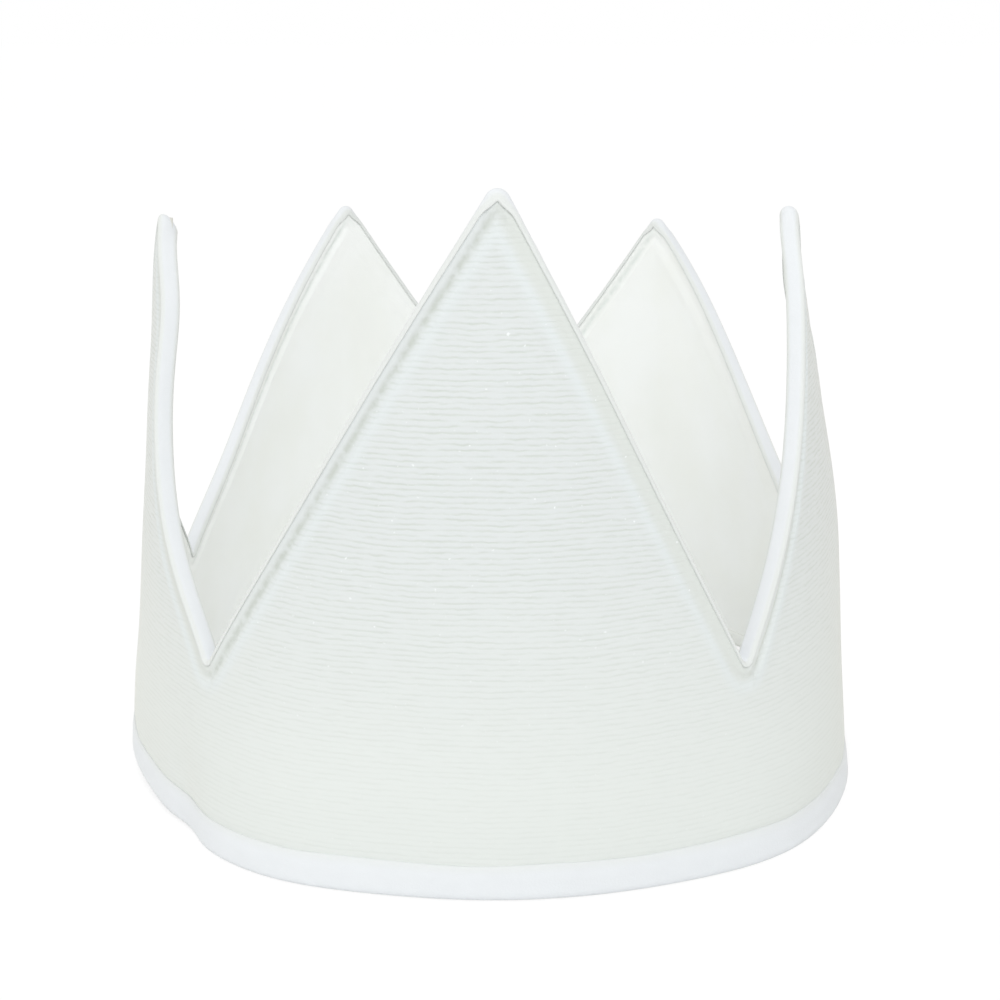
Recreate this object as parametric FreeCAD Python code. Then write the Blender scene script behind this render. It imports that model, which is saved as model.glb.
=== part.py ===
import FreeCAD, Part
import math
import os
from FreeCAD import Vector

# A play crown sewn from cloth: one closed ring with five points, standing on its rim.
# Millimetres, +Z up, the tallest point in front at -Y, origin on the floor in the middle of the rim.
# An azimuth is an angle round the ring in degrees, 0 at the front and positive towards +X.

# Plan of the ring at the floor, measured to the outermost face
rim_half_width = 79.0
rim_half_depth = 94.0
quarter_fullness = 0.026       # how far the oval swells between its ends, as a share of its radius

# Heights of the five points and of the valleys between them, to the corners before rounding
front_point_height = 128.3
left_point_height = 118.2
right_point_height = 119.0
back_left_point_height = 110.0
back_right_point_height = 107.0
front_left_valley_height = 36.0
front_right_valley_height = 37.0
rear_left_valley_height = 31.0
rear_right_valley_height = 41.8
back_valley_height = 51.3

# How far the wall leans in at each point, in mm for each mm of height
front_lean = 0.0
left_lean = 0.083
right_lean = 0.132
back_lean = 0.067

# Cloth layers of the wall, from outside to inside
cover_thickness = 0.5
interlining_thickness = 1.8
lining_thickness = 0.4

# Folded strips sewn over the raw edges
strip_thickness = 0.35
edge_strip_reach = 2.2         # down each face of the wall, square to the edge
hem_strip_reach = 7.0          # up each face of the wall
inner_tip_radius = 0.3         # left inside the strip where it turns over a tip
valley_radius = 1.2

wall_thickness = cover_thickness + interlining_thickness + lining_thickness + 2 * strip_thickness
tip_radius = edge_strip_reach + inner_tip_radius

# Tips of the outline in turn round the ring: azimuth, height, lean of the wall, and how far the
# edges before and after the tip are hollowed towards it at most, in degrees of azimuth
tips = [
    (-151.9, back_left_point_height, back_lean, 0.0, 1.8),
    (-78.0, left_point_height, left_lean, 6.5, 4.4),
    (-1.8, front_point_height, front_lean, 0.4, 0.3),
    (69.2, right_point_height, right_lean, 1.0, 0.0),
    (143.0, back_right_point_height, back_lean, 2.2, 0.0),
]
hollow_bias = 1.5              # above 1, the hollow is deepest nearer the valley than the tip
# The valley that follows each tip: azimuth and height
valleys_after_tips = [
    (-110.0, rear_left_valley_height),
    (-44.6, front_left_valley_height),
    (34.1, front_right_valley_height),
    (104.2, rear_right_valley_height),
    (175.0, back_valley_height),
]

cap_steps = 6
edge_steps = 12
hem_spans = 8
hem_steps = 8
level_tolerance = 0.001


def lean_at(azimuth):
    """Inward lean of the wall, blended smoothly from each point to the next."""
    first = tips[0][0]
    turned = (azimuth - first) % 360 + first
    ring = [(azimuth, lean) for azimuth, _, lean, _, _ in tips]
    ring.append((first + 360, tips[0][2]))
    for (start, lean_a), (end, lean_b) in zip(ring, ring[1:]):
        if turned <= end:
            share = (turned - start) / (end - start)
            blend = share * share * (3 - 2 * share)
            return lean_a + (lean_b - lean_a) * blend
    return ring[-1][1]


def wall_point(azimuth, height, inset):
    """A point of the wall, inset from its outermost face towards the middle of the ring."""
    angle = math.radians(azimuth)
    swell = 1 + quarter_fullness * math.sin(2 * angle) ** 2
    inward = inset + lean_at(azimuth) * height
    x = (rim_half_width * swell - inward) * math.sin(angle)
    y = -(rim_half_depth * swell - inward) * math.cos(angle)
    return Vector(x, y, height)


def mm_per_degree(azimuth):
    angle = math.radians(azimuth)
    along = math.hypot(rim_half_width * math.cos(angle), rim_half_depth * math.sin(angle))
    return math.radians(along)


def rounded_corner(corner, before, after, radius):
    """Stations along the round of one corner of the outline.

    A station is (azimuth, height, d_azimuth, d_height): a place on the edge, and the way that runs
    square to the edge into the cloth, for each mm.
    """
    azimuth, height = corner
    scale = mm_per_degree(azimuth)
    is_tip = height > before[1]
    side = 1 if is_tip else -1
    slope_in = (height - before[1]) / ((azimuth - before[0]) * scale)
    slope_out = (after[1] - height) / ((after[0] - azimuth) * scale)
    rise_in = math.hypot(1, slope_in)
    rise_out = math.hypot(1, slope_out)
    centre_s = side * radius * (rise_in - rise_out) / (slope_in - slope_out)
    centre_z = height + slope_in * centre_s - side * radius * rise_in
    start = math.atan2(side, -side * slope_in)
    end = math.atan2(side, -side * slope_out)
    stations = []
    for step in range(cap_steps + 1):
        turn = start + (end - start) * step / cap_steps
        out_s = math.cos(turn)
        out_z = math.sin(turn)
        stations.append((
            azimuth + (centre_s + radius * out_s) / scale,
            centre_z + radius * out_z,
            -side * out_s / scale,
            -side * out_z,
        ))
    return stations


def side_edge(start, end, hollow):
    """Stations from one station to another along a side of a point, shifted by hollow at most."""
    stations = []
    for step in range(edge_steps + 1):
        share = step / edge_steps
        azimuth, height, d_azimuth, d_height = [a + (b - a) * share for a, b in zip(start, end)]
        from_tip = (share if end[1] < start[1] else 1 - share) ** hollow_bias
        shift = hollow * (4 * from_tip * (1 - from_tip)) ** 2
        stations.append((azimuth + shift, height, d_azimuth, d_height))
    return stations


def outline_stretches():
    """The zigzag edge of the wall, all round, as stretches of stations."""
    corners = []
    hollows = []
    for index, (tip, valley) in enumerate(zip(tips, valleys_after_tips)):
        next_tip = tips[(index + 1) % len(tips)]
        corners.append((tip[0], tip[1], tip_radius))
        corners.append((valley[0], valley[1], valley_radius))
        hollows.append(-tip[4])
        hollows.append(next_tip[3])
    count = len(corners)
    rounds = []
    for index, (azimuth, height, radius) in enumerate(corners):
        before = corners[index - 1]
        after = corners[(index + 1) % count]
        before_azimuth = before[0] if before[0] < azimuth else before[0] - 360
        after_azimuth = after[0] if after[0] > azimuth else after[0] + 360
        rounds.append(rounded_corner((azimuth, height), (before_azimuth, before[1]),
                                     (after_azimuth, after[1]), radius))
    stretches = []
    for index, stations in enumerate(rounds):
        following = rounds[(index + 1) % count]
        target = following[0]
        if target[0] < stations[-1][0]:
            target = (target[0] + 360,) + target[1:]
        stretches.append(stations)
        stretches.append(side_edge(stations[-1], target, hollows[index]))
    return stretches


def rim_stretches():
    """The round rim of the wall, all round, as stretches of stations."""
    span = 360 / hem_spans
    stretches = []
    for index in range(hem_spans):
        start = index * span
        stretches.append([(start + span * step / hem_steps, 0, 0, 0) for step in range(hem_steps + 1)])
    return stretches


def below_edge(inset, drop):
    """A corner of a section that keeps a distance from the zigzag edge."""
    def place(station):
        azimuth, height, d_azimuth, d_height = station
        return wall_point(azimuth + drop * d_azimuth, height + drop * d_height, inset)
    return place


def under_edge(inset, drop, height):
    """A corner of a section at a height above the floor, straight under a corner below the edge."""
    def place(station):
        return wall_point(station[0] + drop * station[2], height, inset)
    return place


def smooth_line(points):
    line = Part.BSplineCurve()
    line.interpolate(Points=points, Parameters=list(range(len(points))))
    return line.toShape()


def side_faces(ring, next_ring):
    """The faces between two closed lines: one flat face where both lie level, or else ruled ones."""
    if Part.Compound(ring + next_ring).BoundBox.ZLength < level_tolerance:
        wires = [Part.Wire(ring), Part.Wire(next_ring)]
        level_face = Part.Face(sorted(wires, key=lambda wire: -wire.Length))
        level_face.validate()
        return [level_face]
    return [Part.makeRuledSurface(line, next_line) for line, next_line in zip(ring, next_ring)]


def closed_band(section, stretches):
    """A closed ring of cloth, with faces from each corner line of its section to the next."""
    rings = []
    for corner in section:
        rings.append([smooth_line([corner(station) for station in stations]) for stations in stretches])
    faces = []
    for ring, next_ring in zip(rings, rings[1:] + rings[:1]):
        faces += side_faces(ring, next_ring)
    shell = Part.Shell(faces)
    shell.sewShape()
    band = Part.Solid(shell)
    if band.Volume < 0:
        band.reverse()
    return band


def cloth_layer(outer_inset, thickness):
    """One layer of the wall, between the hem strip's floor and the edge strip's roof."""
    inner_inset = outer_inset + thickness
    section = [
        under_edge(outer_inset, strip_thickness, strip_thickness),
        below_edge(outer_inset, strip_thickness),
        below_edge(inner_inset, strip_thickness),
        under_edge(inner_inset, strip_thickness, strip_thickness),
    ]
    return closed_band(section, outline_stretches())


def folded_strip(place, reach, stretches):
    """A strip folded over an edge of the wall: a U section with its outer corners taken off."""
    fold = strip_thickness
    far = wall_thickness
    corners = [
        (0, reach), (0, fold), (fold, 0), (far - fold, 0), (far, fold), (far, reach),
        (far - fold, reach), (far - fold, fold), (fold, fold), (fold, reach),
    ]
    return closed_band([place(inset, depth) for inset, depth in corners], stretches)


def outer_cover():
    return cloth_layer(strip_thickness, cover_thickness)


def interlining():
    return cloth_layer(strip_thickness + cover_thickness, interlining_thickness)


def inner_lining():
    return cloth_layer(strip_thickness + cover_thickness + interlining_thickness, lining_thickness)


def edge_strip():
    return folded_strip(below_edge, edge_strip_reach, outline_stretches())


def hem_strip():
    def above_rim(inset, height):
        return under_edge(inset, 0, height)
    return folded_strip(above_rim, hem_strip_reach, rim_stretches())


pieces = {
    "outer_cover": outer_cover(),
    "interlining": interlining(),
    "inner_lining": inner_lining(),
    "edge_strip": edge_strip(),
    "hem_strip": hem_strip(),
}

os.makedirs("parts", exist_ok=True)
for name, shape in pieces.items():
    shape.exportStep(f"parts/{name}.step")
    print(name, "valid", shape.isValid(), "closed", shape.Shells[0].isClosed(), "cm3", round(shape.Volume / 1000, 2))
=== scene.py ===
import math
import bpy
import numpy as np
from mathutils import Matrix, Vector, kdtree, noise


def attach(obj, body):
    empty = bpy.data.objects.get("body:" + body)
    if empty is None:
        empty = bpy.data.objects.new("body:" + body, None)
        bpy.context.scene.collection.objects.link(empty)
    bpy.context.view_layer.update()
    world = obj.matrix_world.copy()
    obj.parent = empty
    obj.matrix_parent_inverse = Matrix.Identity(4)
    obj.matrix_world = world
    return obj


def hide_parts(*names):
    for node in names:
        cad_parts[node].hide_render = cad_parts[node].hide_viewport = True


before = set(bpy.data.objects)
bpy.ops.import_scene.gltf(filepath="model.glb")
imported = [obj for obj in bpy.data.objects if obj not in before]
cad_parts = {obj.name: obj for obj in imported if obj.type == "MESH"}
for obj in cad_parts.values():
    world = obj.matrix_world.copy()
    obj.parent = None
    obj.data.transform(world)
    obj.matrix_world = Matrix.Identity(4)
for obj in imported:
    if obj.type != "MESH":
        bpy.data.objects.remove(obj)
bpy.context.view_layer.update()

# Outer cover: one length of ivory cloth with fine level ribs, five points cut along its top, joined
# into a ring at the back valley. It is stretched over the stiff interlining, and its raw edges are
# caught under the folded strips, where the seam pulls a crease and lifts a soft ridge beside it.
rim_half_width = 0.079
rim_half_depth = 0.094
quarter_fullness = 0.026
cover_thickness = 0.0005
interlining_thickness = 0.0018
lining_thickness = 0.0004
strip_thickness = 0.00035
wall_thickness = cover_thickness + interlining_thickness + lining_thickness + 2 * strip_thickness
cover_inset = strip_thickness
tip_radius = 0.0019
valley_radius = 0.0012
# Each tip: azimuth, height, lean of the wall there, and how far the edges before and after it are
# hollowed towards it at most, in degrees
tips = [
    (-151.9, 0.1095, 0.067, 0.0, 1.8),
    (-78.0, 0.1178, 0.083, 6.5, 4.8),
    (-1.6, 0.1278, 0.0, 0.5, 0.4),
    (69.2, 0.1185, 0.132, 1.0, 0.0),
    (143.0, 0.1066, 0.067, 2.2, 0.0),
]
hollow_bias = 1.5
# The left tip is trimmed aslant: its azimuth and height, and how much lower its inner face ends
slanted_tip = (-78.0, 0.1178, 0.0035)
slant_spread = 4.0
slant_fade = 0.012
valleys_after_tips = [
    (-110.0, 0.0310),
    (-44.6, 0.0360),
    (34.1, 0.0376),
    (104.2, 0.0418),
    (175.0, 0.0513),
]
seam_azimuth = valleys_after_tips[-1][0] - 360
# Soft places where the cloth leaves the plain oval: azimuth, height, spread round the ring in
# degrees, spread up the wall, and how far the wall stands out there
swells = [
    (-33, 0.0, 13, 0.030, 0.0020),
    (-51, 0.0, 5, 0.020, -0.0018),
    (0, 0.0, 18, 0.030, 0.0005),
    (40, 0.0, 13, 0.030, 0.0018),
    (-61, 0.0, 11, 0.030, -0.0016),
    (81, 0.004, 15, 0.022, -0.0022),
    (84, 0.056, 12, 0.022, 0.0017),
    (-120, 0.050, 13, 0.030, -0.0018),
    (112, 0.055, 10, 0.025, -0.0008),
    (-78, 0.121, 12, 0.010, -0.0008),
    (-68, 0.104, 6, 0.016, -0.0022),
    (79, 0.104, 8, 0.015, -0.0019),
    (67, 0.114, 5, 0.010, -0.0005),
]
# Places where the rim is warped off the floor: azimuth, spread in degrees, and lift
rim_lifts = [
    (-84, 22, 0.0022),
]
lift_fade = 0.045


def lean_at(azimuth):
    """Inward lean of the wall, blended smoothly from each point to the next."""
    first = tips[0][0]
    turned = (azimuth - first) % 360 + first
    ring_azimuths = [tip[0] for tip in tips] + [first + 360]
    ring_leans = np.array([tip[2] for tip in tips] + [tips[0][2]])
    place = np.interp(turned, ring_azimuths, np.arange(len(ring_azimuths)))
    before = np.minimum(place.astype(int), len(tips) - 1)
    share = place - before
    blend = share ** 2 * (3 - 2 * share)
    return ring_leans[before] + (ring_leans[before + 1] - ring_leans[before]) * blend


def wall_points(azimuth, height, inset):
    """Places on the wall, inset from its outermost face towards the middle of the ring."""
    angle = np.radians(azimuth)
    fullness = 1 + quarter_fullness * np.sin(2 * angle) ** 2
    inward = inset + lean_at(azimuth) * height
    for middle, middle_height, spread, spread_height, outward in swells:
        turned = (azimuth - middle + 180) % 360 - 180
        raised = height - middle_height
        inward = inward - outward * np.exp(-(turned / spread) ** 2 - (raised / spread_height) ** 2)
    lifted = height
    for middle, spread, lift in rim_lifts:
        turned = (azimuth - middle + 180) % 360 - 180
        lifted = lifted + lift * np.exp(-(turned / spread) ** 2) * np.clip(1 - height / lift_fade, 0, 1) ** 2
    middle, top, drop = slanted_tip
    near_tip = np.exp(-((azimuth - middle) / slant_spread) ** 2)
    near_tip = near_tip * np.clip((height - top + slant_fade) / 0.010, 0, 1)
    lifted = lifted - drop * near_tip * np.clip(inset / wall_thickness, 0, 1)
    x = (rim_half_width * fullness - inward) * np.sin(angle)
    y = -(rim_half_depth * fullness - inward) * np.cos(angle)
    return np.stack([x, y, np.broadcast_to(lifted, x.shape)], axis=-1)


def metres_per_degree(azimuth):
    angle = np.radians(azimuth)
    return np.radians(np.hypot(rim_half_width * np.cos(angle), rim_half_depth * np.sin(angle)))


rim_table_azimuths = np.linspace(seam_azimuth - 15, seam_azimuth + 375, 3901)
rim_table_lengths = np.concatenate([[0], np.cumsum(
    metres_per_degree((rim_table_azimuths[1:] + rim_table_azimuths[:-1]) / 2) * np.diff(rim_table_azimuths)
)])
seam_offset = np.interp(seam_azimuth, rim_table_azimuths, rim_table_lengths)


def along_rim(azimuth):
    """Length along the rim from the back seam to an azimuth, as on the flat pattern."""
    return np.interp(azimuth, rim_table_azimuths, rim_table_lengths) - seam_offset


def rounded_corner(corner, before, after, radius, steps):
    """Stations along the round of one corner of the outline.

    A station is (azimuth, height, d_azimuth, d_height): a place on the edge, and the way that runs
    square to the edge into the cloth, for each metre.
    """
    azimuth, height = corner
    scale = metres_per_degree(azimuth)
    side = 1 if height > before[1] else -1
    slope_in = (height - before[1]) / ((azimuth - before[0]) * scale)
    slope_out = (after[1] - height) / ((after[0] - azimuth) * scale)
    rise_in = math.hypot(1, slope_in)
    rise_out = math.hypot(1, slope_out)
    centre_s = side * radius * (rise_in - rise_out) / (slope_in - slope_out)
    centre_z = height + slope_in * centre_s - side * radius * rise_in
    start = math.atan2(side, -side * slope_in)
    end = math.atan2(side, -side * slope_out)
    turns = np.linspace(start, end, steps + 1)
    return np.stack([
        azimuth + (centre_s + radius * np.cos(turns)) / scale,
        centre_z + radius * np.sin(turns),
        -side * np.cos(turns) / scale,
        -side * np.sin(turns),
    ], axis=-1)


def outline_stations(corner_steps, edge_steps):
    """The zigzag edge of the wall as stations, once round from the back valley to the back valley."""
    corners = [(seam_azimuth, valleys_after_tips[-1][1], valley_radius)]
    hollows = []
    for tip, valley in zip(tips, valleys_after_tips):
        corners.append((tip[0], tip[1], tip_radius))
        corners.append((valley[0], valley[1], valley_radius))
        hollows += [tip[3], -tip[4]]
    shares = np.linspace(0, 1, edge_steps + 1)[1:-1, None]
    first_round = None
    stations = []
    for index, (azimuth, height, radius) in enumerate(corners[:-1]):
        before = corners[index - 1] if index else (corners[-2][0] - 360, corners[-2][1])
        rounded = rounded_corner((azimuth, height), before, corners[index + 1], radius, corner_steps)
        if stations:
            start = stations[-1][-1]
            from_tip = (shares if rounded[0, 1] < start[1] else 1 - shares) ** hollow_bias
            bow = hollows[index - 1] * (4 * from_tip * (1 - from_tip)) ** 2
            stations.append(start + (rounded[0] - start) * shares + bow * [1, 0, 0, 0])
        else:
            first_round = rounded
        stations.append(rounded)
    start = stations[-1][-1]
    closing = first_round + [360, 0, 0, 0]
    from_tip = shares ** hollow_bias
    bow = hollows[-1] * (4 * from_tip * (1 - from_tip)) ** 2
    stations.append(start + (closing[0] - start) * shares + bow * [1, 0, 0, 0])
    stations.append(closing[:1])
    return np.concatenate(stations)


def rising_side(azimuth):
    """1 on the edges that rise towards a tip, -1 on those that fall from it, blended at the corners."""
    blend = 2.0
    knots = []
    sides = []
    corners = [valley[0] for valley in valleys_after_tips]
    for tip, valley in zip(tips, [seam_azimuth] + corners[:-1]):
        knots += [valley - blend, valley + blend, tip[0] - blend, tip[0] + blend]
        sides += [-1, 1, 1, -1]
    knots += [seam_azimuth + 360 - blend, seam_azimuth + 360 + blend]
    sides += [-1, 1]
    return np.interp(azimuth, knots, sides)


def lumps(azimuth, height, size, seed):
    """Smooth noise over the cloth, from 0 to 1, with lumps of about the size given."""
    points = wall_points(azimuth, height, 0.0).reshape(-1, 3) / size + seed
    values = [0.5 + 0.5 * noise.noise(Vector(point)) for point in points]
    return np.array(values).reshape(np.shape(azimuth)).clip(0, 1)


def ramp(value, start, end):
    share = ((value - start) / (end - start)).clip(0, 1)
    return share ** 2 * (3 - 2 * share)


def sheet_object(name, points, pattern, masks, inside_out=False):
    """A closed ring of cloth from an array of points, column by column, with its flat pattern as UVs.

    Each mask is kept as an attribute of the cloth, for its material to read.
    """
    columns, rows = points.shape[:2]
    bpy.ops.object.select_all(action="DESELECT")
    bpy.ops.mesh.primitive_grid_add(x_subdivisions=columns - 1, y_subdivisions=rows - 1, size=1)
    piece = bpy.context.object
    piece.name = name
    mesh = piece.data
    mesh.name = name
    places = np.empty(len(mesh.vertices) * 3)
    mesh.vertices.foreach_get("co", places)
    places = places.reshape(-1, 3)
    column = np.rint((places[:, 0] + 0.5) * (columns - 1)).astype(int)
    row = np.rint((places[:, 1] + 0.5) * (rows - 1)).astype(int)
    mesh.vertices.foreach_set("co", points[column, row].ravel())
    corner_vertices = np.empty(len(mesh.loops), dtype=int)
    mesh.loops.foreach_get("vertex_index", corner_vertices)
    mesh.uv_layers[0].name = "pattern"
    mesh.uv_layers[0].data.foreach_set("uv", pattern[column, row][corner_vertices].ravel())
    for mask_name, mask in masks.items():
        attribute = mesh.attributes.new(mask_name, "FLOAT", "POINT")
        attribute.data.foreach_set("value", np.broadcast_to(mask, points.shape[:2])[column, row].ravel())
    bpy.ops.object.mode_set(mode="EDIT")
    bpy.ops.mesh.select_all(action="SELECT")
    bpy.ops.mesh.remove_doubles(threshold=0.00001)
    if inside_out:
        bpy.ops.mesh.flip_normals()
    bpy.ops.object.mode_set(mode="OBJECT")
    bpy.ops.object.shade_smooth()
    return piece


def add_node(tree, kind, inputs=None, **settings):
    """A shader node with its settings, and its inputs as constants or as links from other outputs."""
    node = tree.nodes.new(kind)
    for key, value in settings.items():
        setattr(node, key, value)
    for key, value in (inputs or {}).items():
        if isinstance(value, bpy.types.NodeSocket):
            tree.links.new(value, node.inputs[key])
        else:
            node.inputs[key].default_value = value
    return node


def linear_colour(red, green, blue):
    """A colour picked in sRGB, from 0 to 255, as the linear values that shaders take."""
    channels = [channel / 255 for channel in (red, green, blue)]
    return tuple([((c + 0.055) / 1.055) ** 2.4 for c in channels] + [1.0])


def cloth_material(name, roughness, sheen):
    material = bpy.data.materials.new(name)
    material.use_nodes = True
    tree = material.node_tree
    shader = tree.nodes["Principled BSDF"]
    shader.inputs["Roughness"].default_value = roughness
    shader.inputs["Specular IOR Level"].default_value = 0.25
    shader.inputs["Sheen Weight"].default_value = sheen
    shader.inputs["Sheen Roughness"].default_value = 0.4
    shader.inputs["Sheen Tint"].default_value = (1.0, 0.92, 0.78, 1.0)
    return material, tree, shader


def pattern_coordinates(tree):
    uv = add_node(tree, "ShaderNodeUVMap", uv_map="pattern")
    return uv.outputs["UV"]


def mask_value(tree, name):
    return add_node(tree, "ShaderNodeAttribute", attribute_name=name).outputs["Fac"]


def math_node(tree, operation, first, second=0.0):
    return add_node(tree, "ShaderNodeMath", {0: first, 1: second}, operation=operation).outputs[0]


def noise_on(tree, coordinates, scale, detail=2.0, roughness=0.5):
    """Noise on the flat pattern, stretched by a scale across and up."""
    placed = add_node(tree, "ShaderNodeMapping", {"Vector": coordinates, "Scale": (*scale, 1.0)})
    made = add_node(tree, "ShaderNodeTexNoise", {
        "Vector": placed.outputs[0], "Scale": 1.0, "Detail": detail, "Roughness": roughness,
    })
    return made.outputs["Fac"]


def remap(tree, value, low, high, new_low, new_high):
    node = add_node(tree, "ShaderNodeMapRange", {
        "Value": value, "From Min": low, "From Max": high, "To Min": new_low, "To Max": new_high,
    })
    return node.outputs["Result"]


def mix_colours(tree, factor, first, second):
    node = add_node(tree, "ShaderNodeMix", data_type="RGBA")
    for key, value in (("Factor", factor), ("A", first), ("B", second)):
        socket = [item for item in node.inputs if item.name == key and item.enabled][0]
        if isinstance(value, bpy.types.NodeSocket):
            tree.links.new(value, socket)
        else:
            socket.default_value = value
    return [item for item in node.outputs if item.enabled][0]


cover_stations = outline_stations(10, 40)
edge_zone = 0.015
edge_zone_rows = 24
body_rows = 44
cover_azimuth = cover_stations[:, 0] + strip_thickness * cover_stations[:, 2]
cover_edge = cover_stations[:, 1] + strip_thickness * cover_stations[:, 3]
zone_heights = cover_edge[:, None] - edge_zone * np.linspace(0, 1, edge_zone_rows + 1)[::-1][None, 1:]
body_shares = np.linspace(0, 1, body_rows + 1)[None, :]
body_heights = strip_thickness + (cover_edge[:, None] - edge_zone - strip_thickness) * body_shares
sheet_heights = np.concatenate([body_heights, zone_heights], axis=1)
sheet_azimuths = np.broadcast_to(cover_azimuth[:, None], sheet_heights.shape)
sheet_pattern = np.stack([along_rim(sheet_azimuths), sheet_heights], axis=-1)

edge_line = outline_stations(12, 300)
edge_tree = kdtree.KDTree(len(edge_line))
for index, (azimuth, height) in enumerate(zip(along_rim(edge_line[:, 0]), edge_line[:, 1])):
    edge_tree.insert(Vector((azimuth, height, 0)), index)
edge_tree.balance()
edge_distance = np.array([
    edge_tree.find(Vector((s, z, 0)))[2] for s, z in sheet_pattern.reshape(-1, 2)
]).reshape(sheet_heights.shape)

hem_reach = 0.007
rising = 0.5 + 0.5 * rising_side(sheet_azimuths)
falling = 1 - rising
# How far the cloth stands out at distances from the edge: where it is rolled over the tape and
# pulled into a crease by the seam, and where it runs plainly to the tape. On the outside the edges
# that rise towards a tip are rolled, and on the inside the edges that fall from it.
roll_distances = np.array([0.35, 0.6, 0.9, 1.4, 2.0, 2.5, 3.1, 4.0, 5.2, 7.0, 10.0]) / 1000
rolled_stand = np.array([0.0, 0.30, 0.36, 0.38, 0.12, -0.16, -0.04, 0.42, 0.30, 0.12, 0.0]) / 1000
plain_stand = np.array([0.0, 0.30, 0.30, 0.24, 0.16, 0.12, 0.14, 0.28, 0.34, 0.14, 0.0]) / 1000
tip_cap = 0.002
tape_spare_at_tip = 0.001
tip_mask = np.zeros(sheet_heights.shape)
for azimuth, height, *_ in tips:
    from_tip = np.hypot(along_rim(sheet_azimuths) - along_rim(azimuth), sheet_heights - (height - tip_cap))
    tip_mask = np.maximum(tip_mask, 1 - ramp(from_tip, 0.002, 0.005))
fine_pucker = lumps(sheet_azimuths, sheet_heights, 0.0035, 4.0)
beside_tape = edge_distance - tape_spare_at_tip * tip_mask
rolled = np.interp(beside_tape, roll_distances, rolled_stand)
plain = np.interp(beside_tape, roll_distances, plain_stand)
waves_size = 0.0006
open_cloth = ramp(edge_distance, 0.003, 0.012) * ramp(sheet_heights, hem_reach, 0.02)
waves = waves_size * lumps(sheet_azimuths, sheet_heights, 0.022, 9.0) * open_cloth
hem_fill = 0.0003 * ramp(sheet_heights, hem_reach, hem_reach + 0.001)
hem_fill = hem_fill * (1 - ramp(sheet_heights, 0.012, 0.03))
above_hem = ramp(sheet_heights, hem_reach, hem_reach + 0.002)
pucker = 1 + (0.7 * fine_pucker - 0.35) * ramp(edge_distance, 0.0008, 0.0016)
cover_stand = (rolled * rising + plain * falling) * pucker * above_hem + waves + hem_fill
cover_points = wall_points(sheet_azimuths, sheet_heights, cover_inset - cover_stand)
crease_distance = 0.0023
crease_width = 0.0006
ridge_distance = 0.0043
# The crease mask sinks the crease in the bump and also paints shade in it.
crease_mask = np.exp(-((edge_distance - crease_distance) / crease_width) ** 2) * rising
smooth_mask = (1 - ramp(edge_distance, 0.0022, 0.0032)) * rising
# Ridge mask: where the cloth on the soft ridge beside the crease is painted lighter, as a painted highlight.
ridge_highlight_mask = np.exp(-((edge_distance - ridge_distance) / 0.0012) ** 2)
# Border mask: where the cloth of the edges that fall from a tip is painted darker, as painted shade on the
# side turned from the light.
border_shade_mask = (1 - ramp(edge_distance, 0.0022, 0.0042)) * falling
rib_mask = 0.25 + 0.75 * ramp(sheet_heights, 0.015, 0.075)
cover = sheet_object("cover_sheet", cover_points, sheet_pattern, {
    "crease": crease_mask, "smooth": smooth_mask, "ridge": ridge_highlight_mask, "border": border_shade_mask,
    "ribs": rib_mask,
})

rib_pitch = 0.00100
rib_colour = linear_colour(226, 230, 230)
smooth_colour = linear_colour(231, 235, 231)
# Painted shade: the grooves between the ribs are coloured darker, as the shade that falls in them.
groove_shade_colour = linear_colour(214, 219, 214)
# Painted shade: the cloth in the seam crease is coloured darker, as the shade that falls in it.
crease_shade_colour = linear_colour(206, 211, 205)
# Painted highlight: a lighter, cooler colour for the soft ridge that catches the light.
ridge_highlight_colour = linear_colour(230, 236, 237)
# Painted shade: a darker colour for the falling edges, which are turned from the light.
border_shade_colour = linear_colour(223, 227, 223)
ivory_material, tree, shader = cloth_material("ribbed_ivory_cloth", 0.8, 0.2)
pattern = pattern_coordinates(tree)
pattern_axes = add_node(tree, "ShaderNodeSeparateXYZ", {0: pattern})
wander = math_node(tree, "MULTIPLY", noise_on(tree, pattern, (60, 60)), 0.0012)
jitter = math_node(tree, "MULTIPLY", noise_on(tree, pattern, (420, 620), 3.0), 0.0007)
rib_height = math_node(tree, "ADD", pattern_axes.outputs["Y"], math_node(tree, "ADD", wander, jitter))
rib_turn = math_node(tree, "MULTIPLY", rib_height, 2 * math.pi / rib_pitch)
# The groove value sinks the grooves in the bump and also paints shade in them through the colour.
groove_depth_and_shade = math_node(tree, "POWER", remap(tree, math_node(tree, "SINE", rib_turn), -1.0, 1.0, 0.0, 1.0), 2.5)
broken = remap(tree, noise_on(tree, pattern, (190, 0.9 / rib_pitch), 2.0, 0.6), 0.34, 0.62, 0.15, 1.0)
rib_strength = math_node(tree, "MULTIPLY", mask_value(tree, "ribs"), math_node(
    tree, "SUBTRACT", 1.0, mask_value(tree, "smooth")))
groove_depth_and_shade = math_node(tree, "MULTIPLY", math_node(tree, "MULTIPLY", groove_depth_and_shade, broken), rib_strength)
threads = noise_on(tree, pattern, (2200, 1500), 2.0, 0.5)
# Painted glints: sparse specks of the cloth coloured lighter, as painted highlights on the ribs.
painted_glints = remap(tree, noise_on(tree, pattern, (1100, 1100), 1.0, 0.4), 0.73, 0.81, 0.0, 1.0)
painted_glints = math_node(tree, "MULTIPLY", painted_glints, rib_strength)
knots = remap(tree, noise_on(tree, pattern, (520, 520), 2.0, 0.6), 0.35, 0.6, 0.25, 1.0)
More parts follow.
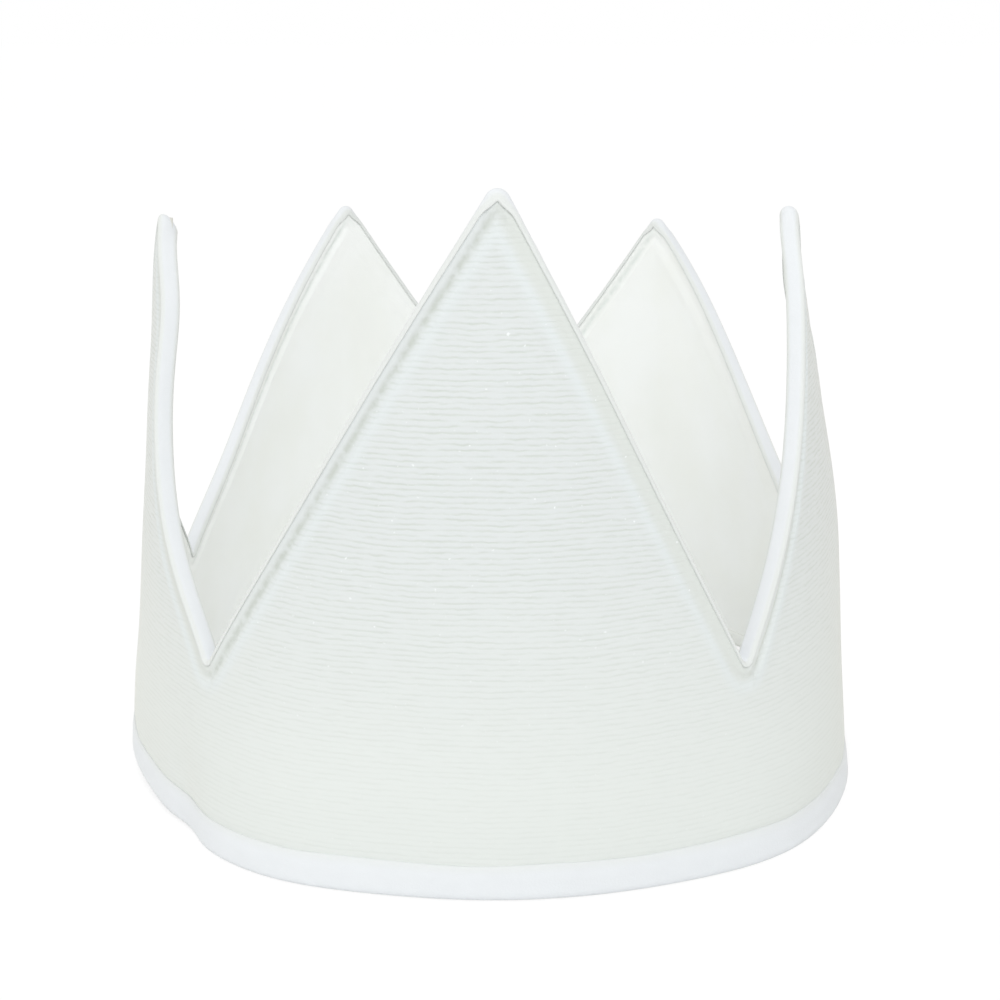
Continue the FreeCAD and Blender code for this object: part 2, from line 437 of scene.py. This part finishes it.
# Along the crease the knots vary both its depth and its painted shade.
crease_depth_and_shade = math_node(tree, "MULTIPLY", mask_value(tree, "crease"), knots)
ridge_highlight = math_node(tree, "MULTIPLY", mask_value(tree, "ridge"), 0.6)
ribbed_colour = mix_colours(tree, mask_value(tree, "ribs"), smooth_colour, rib_colour)
cloth_colour = mix_colours(tree, groove_depth_and_shade, ribbed_colour, groove_shade_colour)
cloth_colour = mix_colours(tree, ridge_highlight, cloth_colour, ridge_highlight_colour)
cloth_colour = mix_colours(tree, mask_value(tree, "border"), cloth_colour, border_shade_colour)
cloth_colour = mix_colours(tree, crease_depth_and_shade, cloth_colour, crease_shade_colour)
# The painted glints' light colour.
cloth_colour = mix_colours(tree, painted_glints, cloth_colour, linear_colour(246, 249, 250))
tree.links.new(cloth_colour, shader.inputs["Base Color"])
relief = math_node(tree, "SUBTRACT", math_node(tree, "MULTIPLY", threads, 0.35), groove_depth_and_shade)
relief = math_node(tree, "SUBTRACT", relief, math_node(tree, "MULTIPLY", crease_depth_and_shade, 1.5))
bump = add_node(tree, "ShaderNodeBump", {"Strength": 0.5, "Distance": 0.0001, "Height": relief})
tree.links.new(bump.outputs["Normal"], shader.inputs["Normal"])
cover.data.materials.append(ivory_material)
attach(cover, "root")
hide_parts("outer_cover")

# Interlining: stiff white felt between the two cloths, which makes the points stand. It is cut to
# the same outline and shows nowhere, since cloth and strips close round it.
felt_inset = cover_inset + cover_thickness
felt_points = wall_points(sheet_azimuths[:, ::2], sheet_heights[:, ::2], felt_inset)
felt = sheet_object("felt_sheet", felt_points, sheet_pattern[:, ::2], {})
solidify = felt.modifiers.new("thickness", "SOLIDIFY")
solidify.thickness = interlining_thickness
solidify.offset = -1
bpy.ops.object.modifier_apply(modifier="thickness")
material, tree, shader = cloth_material("white_felt", 0.95, 0.3)
object_place = add_node(tree, "ShaderNodeTexCoord").outputs["Object"]
fibres = add_node(tree, "ShaderNodeTexNoise", {"Vector": object_place, "Scale": 900.0, "Detail": 4.0})
felt_colour = mix_colours(tree, fibres.outputs["Fac"],
                          linear_colour(222, 222, 214), linear_colour(238, 238, 232))
tree.links.new(felt_colour, shader.inputs["Base Color"])
bump = add_node(tree, "ShaderNodeBump", {
    "Strength": 0.5, "Distance": 0.0002, "Height": fibres.outputs["Fac"],
})
tree.links.new(bump.outputs["Normal"], shader.inputs["Normal"])
felt.data.materials.append(material)
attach(felt, "root")
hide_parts("interlining")

# Inner lining: thin smooth cotton of the same outline on the inside of the wall. It lies a little
# loose, so that soft upright wrinkles and shallow dents show in it.
lining_inset = wall_thickness - strip_thickness
looseness = 0.0007
wrinkles = looseness * lumps(sheet_azimuths, sheet_heights * 0.45, 0.012, 31.0) * open_cloth
lining_stand = (rolled * falling + plain * rising) * pucker * above_hem + wrinkles
lining_points = wall_points(sheet_azimuths, sheet_heights, lining_inset + np.maximum(lining_stand, -0.0003))
# The lining's crease mask sinks the crease in the bump and also paints shade in it.
lining_crease = np.exp(-((edge_distance - crease_distance) / crease_width) ** 2) * falling
lining = sheet_object("lining_sheet", lining_points, sheet_pattern, {"crease": lining_crease},
                      inside_out=True)
material, tree, shader = cloth_material("lining_cotton", 0.85, 0.1)
pattern = pattern_coordinates(tree)
weave = noise_on(tree, pattern, (2400, 2400), 2.0, 0.5)
mottle = noise_on(tree, pattern, (60, 45), 3.0, 0.5)
knots = remap(tree, noise_on(tree, pattern, (520, 520), 2.0, 0.6), 0.35, 0.6, 0.25, 1.0)
crease_depth_and_shade = math_node(tree, "MULTIPLY", mask_value(tree, "crease"), knots)
mottle = remap(tree, mottle, 0.35, 0.65, 0.0, 1.0)
lining_colour = mix_colours(tree, mottle, linear_colour(250, 252, 249), linear_colour(253, 255, 254))
# Painted shade: the lining is coloured darker in its seam crease, as the shade that falls in it.
lining_colour = mix_colours(tree, crease_depth_and_shade, lining_colour, linear_colour(236, 241, 238))
tree.links.new(lining_colour, shader.inputs["Base Color"])
relief = math_node(tree, "SUBTRACT", math_node(tree, "MULTIPLY", weave, 0.5), crease_depth_and_shade)
bump = add_node(tree, "ShaderNodeBump", {"Strength": 0.4, "Distance": 0.0001, "Height": relief})
tree.links.new(bump.outputs["Normal"], shader.inputs["Normal"])
lining.data.materials.append(material)
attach(lining, "root")
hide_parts("inner_lining")

# Edge strip: a smooth cool-white tape let into the seam all along the zigzag edge. It shows only
# across the thickness of the wall, because the cloth of both faces is turned in beside it.
strip_reach = 0.0007
strip_puff = 0.00012
section_steps = 18
strip_stations = outline_stations(14, 90)
strip_azimuth, strip_height, strip_d_azimuth, strip_d_height = strip_stations.T
fold_turns = np.linspace(0, math.pi, section_steps + 1)
fold_cos = np.cos(fold_turns)
half_wall = wall_thickness / 2
at_tip = np.zeros((len(strip_azimuth), 1))
for azimuth, height, *_ in tips:
    from_tip = np.hypot(along_rim(strip_azimuth) - along_rim(azimuth), strip_height - (height - 0.002))
    at_tip = np.maximum(at_tip, 1 - ramp(from_tip, 0.0015, 0.005)[:, None])
fold_across = np.sign(fold_cos) * np.abs(fold_cos) ** (0.6 + 0.4 * at_tip)
fold_down = 1 - np.sin(fold_turns) ** (0.7 + 0.3 * at_tip)
fold_reach = strip_reach + (half_wall - strip_reach) * at_tip
fold_lumps = lumps(strip_azimuth, strip_height, 0.005, 17.0)[:, None] * strip_puff
fold_depth = fold_reach * fold_down - fold_lumps * np.sin(fold_turns)
fold_inset = half_wall - (half_wall - 0.0001) * fold_across
fold_blend = ramp(np.abs(fold_across), 0.55, 0.9)
fold_azimuth = strip_azimuth[:, None] + fold_depth * strip_d_azimuth[:, None]
fold_height = strip_height[:, None] + fold_depth * strip_d_height[:, None]
edge_points = wall_points(fold_azimuth, fold_height, fold_inset)
edge_steps_flat = np.hypot(np.diff(along_rim(strip_azimuth)), np.diff(strip_height))
edge_along = np.concatenate([[0], np.cumsum(edge_steps_flat)])
strip_seen_width = 2 * strip_reach + wall_thickness
edge_pattern = np.stack(np.broadcast_arrays(
    edge_along[:, None], strip_seen_width * np.linspace(0, 1, section_steps + 1)[None, :]
), axis=-1)
edge_tape = sheet_object("edge_tape", edge_points[:, ::-1], edge_pattern[:, ::-1],
                         {"blend": fold_blend[:, ::-1]})
solidify = edge_tape.modifiers.new("thickness", "SOLIDIFY")
solidify.thickness = strip_thickness * 0.9
solidify.offset = -1
bpy.ops.object.modifier_apply(modifier="thickness")
strip_material, tree, shader = cloth_material("strip_cotton", 0.8, 0.1)
pattern = pattern_coordinates(tree)
weave = noise_on(tree, pattern, (2600, 2600), 2.0, 0.5)
mottle = noise_on(tree, pattern, (160, 300), 3.0, 0.5)
strip_colour = mix_colours(tree, mottle, linear_colour(232, 235, 238), linear_colour(237, 240, 243))
strip_colour = mix_colours(tree, mask_value(tree, "blend"), strip_colour, linear_colour(230, 233, 231))
strip_colour = mix_colours(tree, mask_value(tree, "inside"), strip_colour, linear_colour(249, 251, 248))
tree.links.new(strip_colour, shader.inputs["Base Color"])
bump = add_node(tree, "ShaderNodeBump", {"Strength": 0.4, "Distance": 0.0001, "Height": weave})
tree.links.new(bump.outputs["Normal"], shader.inputs["Normal"])
edge_tape.data.materials.append(strip_material)
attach(edge_tape, "root")
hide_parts("edge_strip")

# Hem strip: the same smooth cloth folded over the rim, wide on both faces, with a soft hand-turned
# upper edge. The crown stands on its fold.
hem_columns = 480
hem_section_steps = 30
hem_azimuths = np.linspace(seam_azimuth, seam_azimuth + 360, hem_columns + 1)
hem_round = 0.0011
hem_inner_reach = 0.004
hem_path = [
    (0.00015, hem_reach), (0.0, hem_reach * 0.9), (-0.00010, hem_reach * 0.6), (0.0, hem_round),
    (0.00035, 0.00035), (hem_round, 0.0), (wall_thickness - hem_round, 0.0),
    (wall_thickness - 0.00035, 0.00035), (wall_thickness, hem_round),
    (wall_thickness, hem_inner_reach * 0.8), (wall_thickness - 0.00015, hem_inner_reach),
]
hem_path = np.array(hem_path)
path_lengths = np.concatenate([[0], np.cumsum(np.hypot(*np.diff(hem_path, axis=0).T))])
path_places = np.linspace(0, path_lengths[-1], hem_section_steps + 1)
hem_inset = np.interp(path_places, path_lengths, hem_path[:, 0])
hem_height = np.interp(path_places, path_lengths, hem_path[:, 1])
hem_waver = 0.0006 * (lumps(hem_azimuths, np.zeros(hem_columns + 1), 0.012, 53.0) - 0.5)
hem_waver[-1] = hem_waver[0]
hem_azimuth_grid = np.broadcast_to(hem_azimuths[:, None], (hem_columns + 1, hem_section_steps + 1))
hem_height_grid = hem_height[None, :] * (1 + hem_waver[:, None] / hem_reach)
hem_points = wall_points(hem_azimuth_grid, hem_height_grid, hem_inset[None, :])
hem_pattern = np.stack(np.broadcast_arrays(along_rim(hem_azimuths)[:, None], path_places[None, :]), axis=-1)
hem_blend = 0.6 * ramp(hem_height, hem_reach - 0.002, hem_reach) * (hem_inset < half_wall)
hem_inside = ramp(hem_inset, half_wall, wall_thickness - 0.0005)
hem_band = sheet_object("hem_band", hem_points[:, ::-1], hem_pattern[:, ::-1], {
    "blend": hem_blend[::-1], "inside": hem_inside[::-1],
})
solidify = hem_band.modifiers.new("thickness", "SOLIDIFY")
solidify.thickness = strip_thickness * 0.9
solidify.offset = -1
bpy.ops.object.modifier_apply(modifier="thickness")
hem_band.data.materials.append(strip_material)
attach(hem_band, "root")
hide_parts("hem_strip")

# Floor: a plain white surface with no edge in view. The camera sees it almost pure white, a trace of
# its own shade keeps the shadow under the rim, and inside the crown it shows most of its shade.
bpy.ops.object.select_all(action="DESELECT")
bpy.ops.mesh.primitive_plane_add(size=30, location=(0, 0, 0))
floor = bpy.context.object
floor.name = "floor"
material = bpy.data.materials.new("studio_white")
material.use_nodes = True
tree = material.node_tree
shader = tree.nodes["Principled BSDF"]
shader.inputs["Base Color"].default_value = (0.9, 0.9, 0.9, 1)
shader.inputs["Roughness"].default_value = 0.9
shader.inputs["Specular IOR Level"].default_value = 0.1
paths = add_node(tree, "ShaderNodeLightPath")
seen = math_node(tree, "MAXIMUM", paths.outputs["Is Camera Ray"], math_node(
    tree, "MAXIMUM", paths.outputs["Is Glossy Ray"], paths.outputs["Is Transmission Ray"]))
white = add_node(tree, "ShaderNodeEmission", {"Color": (1, 1, 1, 1), "Strength": 1.05})
floor_place = add_node(tree, "ShaderNodeVectorMath", {
    0: add_node(tree, "ShaderNodeTexCoord").outputs["Object"], 1: (rim_half_width, rim_half_depth, 1.0),
}, operation="DIVIDE")
from_middle = add_node(tree, "ShaderNodeVectorMath", {0: floor_place.outputs[0]}, operation="LENGTH")
open_share = remap(tree, from_middle.outputs["Value"], 0.93, 1.0, 0.15, 0.85)
floor_share = math_node(tree, "MULTIPLY", seen, open_share)
mixed = add_node(tree, "ShaderNodeMixShader", {0: floor_share, 1: shader.outputs[0], 2: white.outputs[0]})
tree.links.new(mixed.outputs[0], tree.nodes["Material Output"].inputs["Surface"])
floor.data.materials.append(material)

# Light: a white room that is less bright towards the right, a broad soft lamp high in front, and a
# weaker one at the left.
world = bpy.data.worlds.new("white_room")
bpy.context.scene.world = world
world.use_nodes = True
tree = world.node_tree
room = tree.nodes["Background"]
room.inputs["Color"].default_value = (1.0, 0.995, 0.98, 1)
room_side = add_node(tree, "ShaderNodeSeparateXYZ", {
    0: add_node(tree, "ShaderNodeTexCoord").outputs["Generated"],
})
tree.links.new(remap(tree, room_side.outputs["X"], -0.2, 1.0, 0.89, 0.60), room.inputs["Strength"])
backdrop = add_node(tree, "ShaderNodeBackground", {"Color": (1, 1, 1, 1), "Strength": 1.0})
paths = add_node(tree, "ShaderNodeLightPath")
seen = math_node(tree, "MAXIMUM", paths.outputs["Is Camera Ray"], math_node(
    tree, "MAXIMUM", paths.outputs["Is Glossy Ray"], paths.outputs["Is Transmission Ray"]))
mixed = add_node(tree, "ShaderNodeMixShader", {0: seen, 1: room.outputs[0], 2: backdrop.outputs[0]})
tree.links.new(mixed.outputs[0], tree.nodes["World Output"].inputs["Surface"])
lamps = [
    ("front_softbox", Vector((0.3, -1.2, 1.1)), 0.9, 6.9),
    ("left_softbox", Vector((-1.5, -0.3, 0.5)), 0.9, 1.4),
]
for name, place, size, energy in lamps:
    lamp_data = bpy.data.lights.new(name, "AREA")
    lamp_data.shape = "SQUARE"
    lamp_data.size = size
    lamp_data.energy = energy
    lamp_data.color = (0.96, 0.985, 1.0)
    lamp = bpy.data.objects.new(name, lamp_data)
    lamp.location = place
    lamp.rotation_euler = (Vector((0, 0, 0.06)) - place).to_track_quat("-Z", "Y").to_euler()
    bpy.context.scene.collection.objects.link(lamp)

# Camera: a little above the tips, looking slightly down at the front point.
camera_data = bpy.data.cameras.new("camera")
camera_data.sensor_width = 36
camera_data.lens = 71.83
camera_data.clip_start = 0.01
camera = bpy.data.objects.new("camera", camera_data)
camera.location = (-0.01497, -0.4242, 0.1526)
camera.rotation_euler = (math.radians(90 - 13.405), 0, math.radians(-2.26))
bpy.context.scene.collection.objects.link(camera)
bpy.context.scene.camera = camera
bpy.context.scene.view_settings.view_transform = "Standard"
